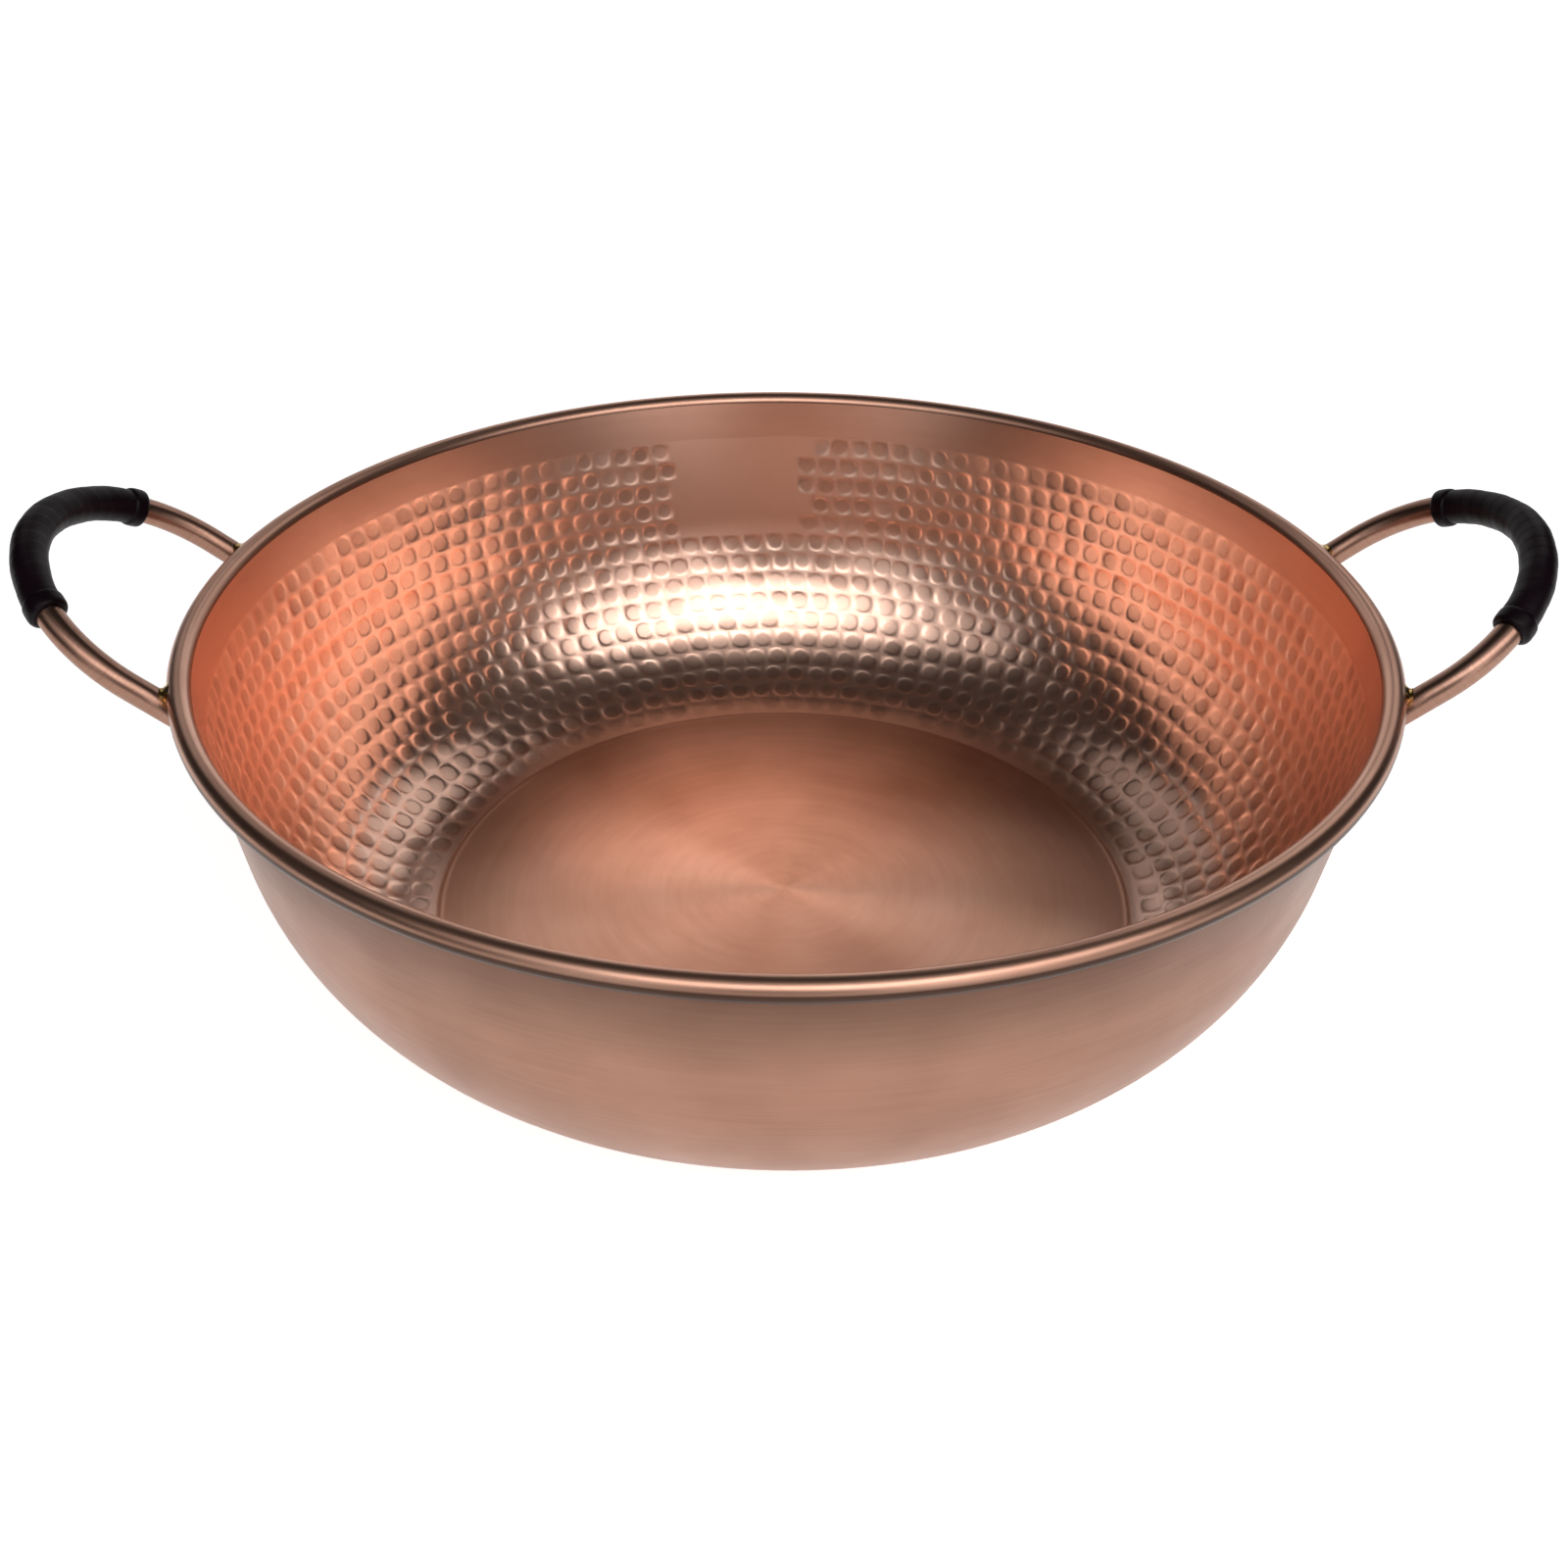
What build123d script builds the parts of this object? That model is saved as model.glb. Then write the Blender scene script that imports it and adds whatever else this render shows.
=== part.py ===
from build123d import *
import math
import os

# A round copper jam pan. A spun bowl of sheet has its rim rolled outwards round
# a wire. Two loop handles of round rod are brazed to the wall under the roll,
# and each carries a black wrapped grip with a bound band at both ends.
# Millimetres, +Z up, origin in the middle of the flat base, handles on the X axis.

# Bowl, measured on its inner face from the floor outwards and up
sheet = 1.5
floor_radius = 124.65
crease_radius = 12.0
crease_turn = 8.0
lower_belly_radius = 60.0
lower_belly_turn = 42.6
upper_belly_radius = 92.5
wall_lean = 10.0
wall_straight = 49.0

# Rolled rim
rim_wire_diameter = 4.4
wire_clearance = 0.1
curl_gap = 0.4

# Handle loops, in a plane that rises outwards
rod_diameter = 8.8
handle_tilt = 37.4
handle_reach = 66.9
crown_radius = 56.0
crown_half_angle = 35.0
corner_radius = 47.5
notch_depth = 1.8
root_clearance = 0.1

# Brazing at the foot of each leg
braze_bead = 2.2

# Wrapped grips and the bands that bind their ends
grip_diameter = 12.0
grip_half_length = 49.0
grip_shift = 3.3
grip_clearance = 0.15
band_thickness = 0.6
band_length = 6.0
band_edge_radius = 0.25

# Every cut and every buried end runs past its surface by this
overrun = 2.0

# Sizes that follow from the ones above
rod_radius = rod_diameter / 2
grip_radius = grip_diameter / 2
bore_radius = rim_wire_diameter / 2 + wire_clearance
roll_radius = bore_radius + sheet
upper_belly_turn = 90.0 - crease_turn - lower_belly_turn - wall_lean
curl_turn = 360.0 - math.degrees(math.acos((bore_radius - curl_gap) / roll_radius))
corner_turn = 90.0 - crown_half_angle


def wall_face(offset):
    """Edges of the wall's section, from the axis to the foot of the roll.

    The section lies at the given distance outside the inner face, so each arc
    grows by it. Above the belly the wall runs straight and leans outwards.
    """
    floor = Line((0, sheet - offset), (floor_radius, sheet - offset))
    crease = JernArc(floor @ 1, floor % 1, crease_radius + offset, crease_turn)
    lower = JernArc(crease @ 1, crease % 1, lower_belly_radius + offset, lower_belly_turn)
    upper = JernArc(lower @ 1, lower % 1, upper_belly_radius + offset, upper_belly_turn)
    rise = Line(upper @ 1, upper @ 1 + (upper % 1) * wall_straight)
    return [floor, crease, lower, upper, rise]


# Where the wall ends and the roll begins
inner_top = wall_face(0)[-1]
top_point = inner_top @ 1
top_direction = inner_top % 1
belly_face_radius = inner_top.position_at(0).X
roll_centre = top_point + Vector(top_direction.Y, -top_direction.X) * roll_radius


def spun(edges):
    """Solid of revolution about the pan's axis from a closed section."""
    return revolve(Plane.XZ * make_face(edges), Axis.Z)


def make_bowl():
    """Sheet of one thickness: flat floor, belly, leaning wall and the curl round the wire."""
    inside = wall_face(0)
    outside = wall_face(sheet)
    curl_outer = JernArc(inside[-1] @ 1, inside[-1] % 1, roll_radius, -curl_turn)
    curl_inner = JernArc(outside[-1] @ 1, outside[-1] % 1, bore_radius, -curl_turn)
    edge = Line(curl_outer @ 1, curl_inner @ 1)
    axis = Line(inside[0] @ 0, outside[0] @ 0)
    return spun(inside + [curl_outer, edge, curl_inner] + outside + [axis])


def make_rim_wire():
    """Ring of wire that stiffens the rim inside the curl."""
    ring = Plane.XZ * Pos(roll_centre.X, roll_centre.Y) * Circle(rim_wire_diameter / 2)
    return revolve(ring, Axis.Z)


def filled_bowl(margin):
    """The bowl as a full body, larger all round by a margin, without its hollow."""
    outside = wall_face(sheet + margin)
    top = Line(outside[-1] @ 1, (0, (outside[-1] @ 1).Y))
    axis = Line(top @ 1, outside[0] @ 0)
    roll = Plane.XZ * Pos(roll_centre.X, roll_centre.Y) * Circle(roll_radius + margin)
    return spun(outside + [top, axis]) + revolve(roll, Axis.Z)


# The loop's plane: distance u outwards and up, distance v to the rear
tilt = math.radians(handle_tilt)
crown_angle = math.radians(crown_half_angle)
crown_half_length = crown_radius * crown_angle
corner_length = corner_radius * math.radians(corner_turn)
corner_centre_u = handle_reach - crown_radius + (crown_radius - corner_radius) * math.cos(crown_angle)
corner_centre_v = (crown_radius - corner_radius) * math.sin(crown_angle)
leg_v = corner_centre_v + corner_radius
leg_x = math.sqrt(roll_centre.X ** 2 - leg_v ** 2)
across = math.cos(tilt) * leg_x / roll_centre.X
slant = math.hypot(math.sin(tilt), across)
leg_drop = (roll_radius + rod_radius - notch_depth) * slant / across
loop_origin = Vector(leg_x, 0, roll_centre.Y - leg_drop)
loop_plane = Plane(
    origin=loop_origin,
    x_dir=(math.cos(tilt), 0, math.sin(tilt)),
    z_dir=(-math.sin(tilt), 0, math.cos(tilt)),
)
buried_length = (roll_centre.X - belly_face_radius + rod_diameter) / math.cos(tilt)
leg_length = corner_centre_u + buried_length
loop_half_length = crown_half_length + corner_length + leg_length


def loop_point(place):
    """Point and direction of the centre line at a length from the crown's middle."""
    side = math.copysign(1, place)
    far = abs(place)
    if far <= crown_half_length:
        angle = far / crown_radius
        u = handle_reach - crown_radius + crown_radius * math.cos(angle)
        v = crown_radius * math.sin(angle)
    elif far <= crown_half_length + corner_length:
        angle = crown_angle + (far - crown_half_length) / corner_radius
        u = corner_centre_u + corner_radius * math.cos(angle)
        v = corner_centre_v + corner_radius * math.sin(angle)
    else:
        angle = math.pi / 2
        u = corner_centre_u - (far - crown_half_length - corner_length)
        v = leg_v
    return Vector(u, side * v), Vector(-side * math.sin(angle), math.cos(angle))


def loop_path(start, end):
    """Centre line of the loop between two lengths from the crown's middle."""
    turns = crown_half_length + corner_length
    spans = [
        (-loop_half_length, -turns, 0),
        (-turns, -crown_half_length, corner_radius),
        (-crown_half_length, crown_half_length, crown_radius),
        (crown_half_length, turns, corner_radius),
        (turns, loop_half_length, 0),
    ]
    edges = []
    for first, last, radius in spans:
        low = max(first, start)
        high = min(last, end)
        if high <= low:
            continue
        point, direction = loop_point(low)
        if radius:
            edges.append(JernArc(point, direction, radius, math.degrees((high - low) / radius)))
        else:
            edges.append(Line(point, loop_point(high)[0]))
    return loop_plane * Wire(edges)


def tube(start, end, radius):
    """Round bar along the loop between two lengths."""
    path = loop_path(start, end)
    return sweep(Plane(origin=path @ 0, z_dir=path % 0) * Circle(radius), path=path)


def make_rod():
    """Bent rod of one handle, both feet filed to the wall and the roll."""
    rod = tube(-loop_half_length, loop_half_length, rod_radius)
    return rod - filled_bowl(root_clearance)


def make_braze(end):
    """Bead of filler metal round one foot, where rod, wall and roll come close."""
    near = crown_half_length + corner_length
    reach = (near, loop_half_length)
    if end < 0:
        reach = (-loop_half_length, -near)
    bead = tube(*reach, rod_radius + braze_bead) & filled_bowl(braze_bead)
    bore = tube(*reach, rod_radius + root_clearance)
    return bead - bore - filled_bowl(root_clearance)


grip_start = -grip_half_length - grip_shift
grip_end = grip_half_length - grip_shift


def make_grip_wrap():
    """Wrapped sleeve on the bent part of the rod."""
    sleeve = tube(grip_start, grip_end, grip_radius)
    bore = tube(grip_start - overrun, grip_end + overrun, rod_radius + grip_clearance)
    return sleeve - bore


def make_band(end):
    """Band bound round one end of the wrapped sleeve, flush with its end."""
    first = grip_end - band_length
    if end < 0:
        first = grip_start
    last = first + band_length
    inner = grip_radius + grip_clearance
    ring = tube(first, last, inner + band_thickness)
    rims = ring.edges().filter_by(GeomType.CIRCLE)
    ends = rims.filter_by(lambda e: abs(e.radius - inner - band_thickness) < band_thickness)
    ring = fillet(ends, band_edge_radius)
    return ring - tube(first - overrun, last + overrun, inner)


parts = {
    "bowl": make_bowl(),
    "rim_wire": make_rim_wire(),
}

# The left handle is the right one turned half round, so its front is the other's rear
for side_name, turn in (("right", 0), ("left", 180)):
    place = Rot(0, 0, turn)
    parts[f"{side_name}_handle_rod"] = place * make_rod()
    parts[f"{side_name}_grip_wrap"] = place * make_grip_wrap()
    for end_name, end in (("front", -1), ("rear", 1)):
        own_end = end if turn == 0 else -end
        parts[f"{side_name}_{end_name}_braze"] = place * make_braze(own_end)
        parts[f"{side_name}_{end_name}_band"] = place * make_band(own_end)

os.makedirs("parts", exist_ok=True)
for name, piece in parts.items():
    export_step(piece, f"parts/{name}.step")
    print(name, round(piece.volume, 1), len(piece.solids()))
print("rim outer radius", round(roll_centre.X + roll_radius, 2))
print("rim top", round(roll_centre.Y + roll_radius, 2))
print("roll centre", roll_centre)
print("loop origin", loop_origin, "leg v", round(leg_v, 2))
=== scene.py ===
# %% [markdown]
# # A copper jam pan
#
# The pan is a wide bowl spun from one disc of copper sheet. Its edge is rolled round
# a steel wire, two loops of copper rod are brazed under the roll, and each loop
# carries a black bound grip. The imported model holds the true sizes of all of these.
# This script loads it and leaves it where it is. It lays finer skins over the pieces
# whose marks the model leaves out, gives each piece its finish, and lights the pan.

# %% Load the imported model
import bpy
import numpy as np
from mathutils import Matrix


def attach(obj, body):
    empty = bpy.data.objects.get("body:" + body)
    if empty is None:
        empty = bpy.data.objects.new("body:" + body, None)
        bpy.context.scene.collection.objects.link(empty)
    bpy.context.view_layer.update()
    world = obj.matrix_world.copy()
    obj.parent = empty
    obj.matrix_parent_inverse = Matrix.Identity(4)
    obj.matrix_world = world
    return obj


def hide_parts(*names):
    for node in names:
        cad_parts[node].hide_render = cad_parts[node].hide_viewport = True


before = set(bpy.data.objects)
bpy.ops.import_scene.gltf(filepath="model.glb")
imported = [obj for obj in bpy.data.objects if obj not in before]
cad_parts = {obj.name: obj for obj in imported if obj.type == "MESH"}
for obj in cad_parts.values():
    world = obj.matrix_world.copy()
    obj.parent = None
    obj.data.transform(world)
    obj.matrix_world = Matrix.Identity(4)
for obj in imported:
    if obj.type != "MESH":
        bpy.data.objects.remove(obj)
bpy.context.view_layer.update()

print("pieces in the model:", sorted(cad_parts))

# %% [markdown]
# ## Sizes
#
# All shapes here are worked out in millimetres, because a coppersmith measures in
# them, and a mesh gets its points in metres at the very end. The sizes repeat the
# model's own, so a new skin lies where the solid does. Another way would be to read
# the points of the model's mesh, but those are loose triangles with no order.

# %% Sizes of the bowl
SHEET = 1.5                # thickness of the copper
FLOOR_RADIUS = 124.65
BELLY = ((12.0, 8.0), (60.0, 42.6), (92.5, 29.4))   # inner radius and turn of each arc
WALL = 49.0                # straight stretch above the belly, which leans outwards by 10 degrees
ROLL_RADIUS = 3.8          # outside of the rolled rim
BORE_RADIUS = 2.3          # inside of the roll, round the wire
CURL_TURN = 300.0          # degrees
print("floor", 2 * FLOOR_RADIUS, "mm across, rolled rim", 2 * ROLL_RADIUS, "mm thick")

# %% [markdown]
# ## A line made of straight runs and arcs
#
# The section of the bowl and the centre line of a handle are both chains of straight
# runs and tangent arcs, which is how a bending jig or a spinning former makes them.
# One function gives any point of such a chain from its length along the chain. It
# works on a whole array of lengths at once.

# %% Points along a chain
def chain(start, heading, spans, length):
    """Points and headings at the given lengths along a chain of runs and arcs.

    Each span is its length and the turn along it, in radians. The heading grows
    evenly along a span, so a point is the span's start plus a chord, which is the
    length times the sine of half the turn over half the turn, laid along the
    heading at half the turn.
    """
    size, turn = np.array(spans, float).T
    heads = heading + np.concatenate([[0], np.cumsum(turn)])
    middle = heads[:-1] + turn / 2
    chords = (size * np.sinc(turn / 2 / np.pi))[:, None]
    steps = chords * np.stack([np.cos(middle), np.sin(middle)], -1)
    corners = np.array(start, float) + np.vstack([[0, 0], np.cumsum(steps, 0)])
    begins = np.concatenate([[0], np.cumsum(size)])
    at = np.clip(np.searchsorted(begins, length, "right") - 1, 0, len(size) - 1)
    part = length - begins[at]
    half = part * turn[at] / size[at] / 2
    way = np.stack([np.cos(heads[at] + half), np.sin(heads[at] + half)], -1)
    return corners[at] + (part * np.sinc(half / np.pi))[..., None] * way, heads[at] + 2 * half


def arc(radius, degrees):
    """Length and turn of an arc; a negative turn bends to the right."""
    return radius * abs(np.radians(degrees)), np.radians(degrees)


# %% Section of the bowl
FLOOR_END, HEEL_END, LOW_END, BELLY_END, WALL_END, CURL_END = range(6)   # ends of its spans


def section_spans(grow, curl):
    """The sheet's section from the axis to the end of the curl.

    grow is the distance outside the inner face, and the arcs get larger by it.
    """
    belly = [arc(radius + grow, turn) for radius, turn in BELLY]
    return [(FLOOR_RADIUS, 0), *belly, (WALL, 0), arc(curl, -CURL_TURN)]


inner_spans = section_spans(0, ROLL_RADIUS)
outer_spans = section_spans(SHEET, BORE_RADIUS)
inner_ends = np.cumsum([size for size, turn in inner_spans])
outer_ends = np.cumsum([size for size, turn in outer_spans])


def inner_face(length):
    """Points (radius, height) and headings of the inner face, which runs on round the roll."""
    return chain((0, SHEET), 0, inner_spans, length)


def outer_face(length):
    """Points (radius, height) and headings of the outer face, which ends inside the curl."""
    return chain((0, 0), 0, outer_spans, length)


wall_top, wall_heading = inner_face(inner_ends[WALL_END])
ROLL_CENTRE = wall_top + ROLL_RADIUS * np.array([np.sin(wall_heading), -np.cos(wall_heading)])
print("centre of the roll: radius and height", ROLL_CENTRE.round(2))
print("wall inside:", (inner_ends[WALL_END] - inner_ends[FLOOR_END]).round(1), "mm from floor to roll")

# %% [markdown]
# ## Meshes from arrays
#
# Every skin here is a grid: rows along one line and columns round another. Joined in
# order, four neighbours make a face. One function turns the finished arrays into a
# Blender object. It can also set the direction in which each corner of a face shades,
# which keeps a crisp edge crisp and a smooth curve smooth with few faces.

# %% From arrays to an object
def build(name, points, groups, finishes):
    """An object from points in millimetres and groups of faces.

    A group is (faces, directions, finish): vertex numbers with one row a face, one
    direction for each corner or None, and the number of its finish.
    """
    mesh = bpy.data.meshes.new(name)
    corners = np.concatenate([faces.ravel() for faces, ways, finish in groups])
    sizes = np.concatenate([np.full(len(faces), faces.shape[1]) for faces, ways, finish in groups])
    mesh.vertices.add(len(points))
    mesh.vertices.foreach_set("co", (np.asarray(points) / 1000).astype(np.float32).ravel())
    mesh.loops.add(len(corners))
    mesh.loops.foreach_set("vertex_index", corners.astype(np.int32))
    mesh.polygons.add(len(sizes))
    mesh.polygons.foreach_set("loop_start", (np.cumsum(sizes) - sizes).astype(np.int32))
    mesh.polygons.foreach_set("material_index", np.concatenate(
        [np.full(len(faces), finish) for faces, ways, finish in groups]).astype(np.int32))
    mesh.update(calc_edges=True)
    mesh.shade_smooth()
    if groups[0][1] is not None:
        ways = np.concatenate([ways.reshape(-1, 3) for faces, ways, finish in groups])
        mesh.normals_split_custom_set(ways / np.linalg.norm(ways, axis=1, keepdims=True))
    for metal in finishes:
        mesh.materials.append(metal)
    piece = bpy.data.objects.new(name, mesh)
    bpy.context.scene.collection.objects.link(piece)
    print(f"{name}: {len(points)} points, {int((sizes - 2).sum())} triangles")
    return piece


def grid_faces(numbers):
    """Faces of a grid of vertex numbers whose last column meets its first."""
    low, high = numbers[:-1], numbers[1:]
    return np.stack([low, high, np.roll(high, -1, 1), np.roll(low, -1, 1)], -1).reshape(-1, 4)


def fan_faces(ring, pole, first):
    """Triangles from a closed ring of vertex numbers to one pole, before or after it."""
    beside = np.roll(ring, -1)
    middle = np.full_like(ring, pole)
    return np.stack([middle, ring, beside] if first else [ring, middle, beside], -1)


# %% [markdown]
# ## Nodes and colours
#
# A finish is a small tree of nodes. One function adds a node, sets its values and
# links its inputs. Colours are written as on a paint card, in sRGB hex, and one
# function turns them into the linear values that a shader works with.

# %% Helpers for finishes
def colour(card):
    """Linear RGBA of an sRGB hex colour.

    A low value is divided by 12.92. The rest plus 0.055 are divided by 1.055 and
    raised to the power of 2.4.
    """
    part = np.array([int(card[i:i + 2], 16) for i in (1, 3, 5)]) / 255
    linear = np.where(part <= 0.04045, part / 12.92, ((part + 0.055) / 1.055) ** 2.4)
    return (*linear.tolist(), 1.0)


def add(tree, kind, values=None, links=None):
    """Adds a node, sets its properties or inputs, and links sockets into it."""
    node = tree.nodes.new(kind)
    for name, value in (values or {}).items():
        if isinstance(name, str) and hasattr(node, name):
            setattr(node, name, value)
        else:
            node.inputs[name].default_value = value
    for name, socket in (links or {}).items():
        tree.links.new(socket, node.inputs[name])
    return node


def finish(name):
    """An empty material: its tree, its shader and the piece's own coordinates in metres."""
    material = bpy.data.materials.new(name)
    material.use_nodes = True
    tree = material.node_tree
    shader = tree.nodes["Principled BSDF"]
    place = add(tree, "ShaderNodeTexCoord").outputs["Object"]
    return material, tree, shader, place


print("linear value of middle grey:", round(colour("#808080")[0], 3))

# %% [markdown]
# ## Copper, as it comes from the tool
#
# Copper is a bare metal: it has no colour of its own, only a warm reflection, so
# Metallic is 1 and the base colour is that reflection. What differs over the pan is
# how the surface was worked. Spinning leaves fine rings that blur a reflection across
# them, a planishing hammer leaves small bright hollows, and the roll is burnished.
# Each way of working gets its own finish with the same copper in it; the darker copper below the rim is
# painted shade.
#
# Light inside the pan is mirrored from wall to wall and deepens in colour each time,
# so the inside starts from a pale tone. Below the rim the photographed pan mirrors
# darker surroundings than this white floor gives. The outside, the rods and the roll
# have a darker tone as painted shade to make up for that, and more painted shade
# darkens the underside of the roll and the outside wall just below it.
# Inside, the roughness stays at 0.28 or more. Below about 0.274, small rough patches
# appear that are in no mesh.

# %% Marks that run in rings
def ring_place(tree, place, across, around):
    """Coordinates for marks that run in rings about the pan's axis.

    The distance from the axis and the height are scaled by across, and the
    direction from the axis, as a unit vector, by around, so the marks are long
    and have no seam.
    """
    flat = add(tree, "ShaderNodeVectorMath", {"operation": "MULTIPLY", 1: (1, 1, 0)}, {0: place})
    way = add(tree, "ShaderNodeVectorMath", {"operation": "NORMALIZE"}, {0: flat.outputs[0]})
    way = add(tree, "ShaderNodeVectorMath", {"operation": "SCALE", "Scale": around},
              {0: way.outputs[0]})
    radius = add(tree, "ShaderNodeVectorMath", {"operation": "LENGTH"}, {0: flat.outputs[0]})
    parts = add(tree, "ShaderNodeSeparateXYZ", None, {0: place})
    reach = add(tree, "ShaderNodeMath", {"operation": "ADD"},
                {0: radius.outputs["Value"], 1: parts.outputs["Z"]})
    reach = add(tree, "ShaderNodeMath", {"operation": "MULTIPLY", 1: across},
                {0: reach.outputs[0]})
    lift = add(tree, "ShaderNodeCombineXYZ", None, {"Z": reach.outputs[0]})
    rings = add(tree, "ShaderNodeVectorMath", {"operation": "ADD"},
                {0: way.outputs[0], 1: lift.outputs[0]})
    return rings.outputs[0]


# %% Copper finishes
CLOUD_MM = 40              # mm across the slow clouds of tone on all copper
MARK_WEIGHT = 0.5          # how much the tool's marks count beside the clouds
MARK_DEPTH = 0.0001        # m, the bump's distance
GRAIN_TURN = 0.25          # a quarter turn, so that a reflection blurs across the rings


def copper(name, light, dark, smooth, rough, mark_mm, around,
           relief=0, anisotropic=0.0, fade=None):
    """Bare copper between two tones and two roughness values.

    Marks about mark_mm wide run in rings, each for about half a radian over around.
    They and the clouds add up to the share of the light tone and the smooth value.
    Relief is the bump's strength. Anisotropic is how much more a reflection blurs
    across the rings than along them. Fade is (what it follows, the value there with the full
    tone, the value with the darkest tone, the darkest tone's share of the full one), and
    follows the height in metres, where the darkening is painted shade, or the mesh's own
    mark of its hollows, where it is their browner tone.
    """
    material, tree, shader, place = finish(name)
    ringed = ring_place(tree, place, 1000 / mark_mm / 2, around)
    marks = add(tree, "ShaderNodeTexNoise", {"Scale": 1.0, "Detail": 3.0, "Roughness": 0.6},
                {"Vector": ringed})
    clouds = add(tree, "ShaderNodeTexNoise", {"Scale": 1000 / CLOUD_MM, "Detail": 3.0},
                 {"Vector": place})
    both = add(tree, "ShaderNodeMath", {"operation": "MULTIPLY_ADD", 1: MARK_WEIGHT},
               {0: marks.outputs[0], 2: clouds.outputs[0]})
    share = add(tree, "ShaderNodeMapRange", {"From Min": 0.5, "From Max": 1.0},
                {"Value": both.outputs[0]})
    tone = add(tree, "ShaderNodeMix", {"data_type": "RGBA", 6: colour(dark), 7: colour(light)},
               {0: share.outputs[0]})
    paint = tone.outputs[2]
    if fade:
        follows, full_at, darkest_at, left = fade
        if follows == "height":
            measure = add(tree, "ShaderNodeSeparateXYZ", None, {0: place}).outputs["Z"]
        else:
            measure = add(tree, "ShaderNodeAttribute", {"attribute_name": follows}).outputs["Fac"]
        # Darkening by the height is painted shade; by the hollow mark it is the hollows' browner tone.
        hollow_tone_and_painted_shade = add(tree, "ShaderNodeMapRange",
                   {"From Min": full_at, "From Max": darkest_at, "To Min": 1.0, "To Max": left},
                   {"Value": measure})
        paint = add(tree, "ShaderNodeVectorMath", {"operation": "SCALE"},
                    {0: paint, "Scale": hollow_tone_and_painted_shade.outputs[0]}).outputs[0]
    polish = add(tree, "ShaderNodeMapRange", {"To Min": rough, "To Max": smooth},
                 {"Value": share.outputs[0]})
    shader.inputs["Metallic"].default_value = 1.0
    shader.inputs["Anisotropic"].default_value = anisotropic
    tree.links.new(paint, shader.inputs["Base Color"])
    tree.links.new(polish.outputs[0], shader.inputs["Roughness"])
    if relief:
        bump = add(tree, "ShaderNodeBump", {"Strength": relief, "Distance": MARK_DEPTH},
                   {"Height": marks.outputs[0]})
        tree.links.new(bump.outputs[0], shader.inputs["Normal"])
    if anisotropic:
        shader.inputs["Anisotropic Rotation"].default_value = GRAIN_TURN
        grain = add(tree, "ShaderNodeTangent", {"direction_type": "RADIAL", "axis": "Z"})
        tree.links.new(grain.outputs[0], shader.inputs["Tangent"])
    return material


floor_copper = copper("copper_spun_floor", "#F4BFA5", "#E3AA8F", 0.28, 0.31,
                      mark_mm=1.6, around=2, anisotropic=0.88)
hammered_copper = copper("copper_hammered", "#FBD0BB", "#F5C5AE", 0.28, 0.30,
                         mark_mm=0.5, around=60, fade=("hollow", 0, 1, 0.77))
band_copper = copper("copper_smooth_band", "#F4C3AC", "#E9B69F", 0.28, 0.30,
                     mark_mm=1.6, around=2)
# Painted shade: the roll is darker than the copper inside, and its lower half is darker still.
rim_copper = copper("copper_burnished_rim_painted_shade", "#D3A48E", "#C3937E", 0.32, 0.38,
                    mark_mm=0.8, around=4, fade=("height", 0.1150, 0.1135, 0.12))
# Painted shade: the outside is darker than the copper inside, and darker still towards the roll above
# it.
outside_copper = copper("copper_brushed_outside_painted_shade", "#AF8470", "#A07764", 0.36, 0.44,
                        mark_mm=0.7, around=4, relief=0.12, anisotropic=0.4,
                        fade=("height", 0.075, 0.109, 0.42))
print("finishes of the bowl:", [material.name for material in bpy.data.materials
                                if material.name.startswith("copper")])

# %% [markdown]
# ## The bowl
#
# On the real pan the wall inside is hammered all over, row upon row. Each blow of the
# round-faced hammer leaves an almost flat spot about 6 mm wide with a gently sloping
# edge, and the metal between the spots stays up as a rounded net. The flat spots each
# mirror one tone and the net mirrors many, which is what makes hammered copper glitter.
# A bump pattern could fake this, but then the exported pan would lose it. So the
# hollows are real: each is a square of six by six faces whose inner points lie on two
# circles. A smith spaces blows by eye, so each row has as many as fit round it.

# %% Where the hammer struck
ROWS = 15
ROW_STEP = 8.36            # mm along the wall from row to row
HAMMER_START = inner_ends[FLOOR_END] + 4.0
HAMMER_END = HAMMER_START + ROWS * ROW_STEP
rng = np.random.default_rng(11)

row_up = HAMMER_START + (np.arange(ROWS) + 0.5) * ROW_STEP
row_radius = inner_face(row_up)[0][:, 0]
pitch = np.linspace(9.6, 8.4, ROWS)             # mm from blow to blow, lowest to highest row
hollow_radius = np.linspace(3.65, 3.3, ROWS)
counts = np.round(2 * np.pi * row_radius / pitch + rng.uniform(-2, 2, ROWS)).astype(int)
print("hollows in each row:", counts.tolist(), "together", counts.sum())

# %% Shape of one hollow
HALF = 3                   # faces from the middle of a hollow's square to its border
SIDE = 2 * HALF
LIP_DROP = 0.08            # mm from the net down to the edge of a hollow
EDGE_DROP = 0.08           # further down to the ring where its flat part starts
FLAT_DROP = 0.03           # further down to its middle
# For each ring of points, from the middle of the square out to its border:
RING_SHARE = np.array([0, 0.72, 1, 0])          # its radius over the hollow's radius
RING_FALL = np.array([LIP_DROP + EDGE_DROP + FLAT_DROP, LIP_DROP + EDGE_DROP, LIP_DROP, 0])
RING_SLOPE = np.array([0, 0.028, 0.14, 0])      # the surface's slope there
RING_MARK = np.array([1, 0.95, 0.15, 0])        # how much it has of the hollow's browner tone


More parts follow.
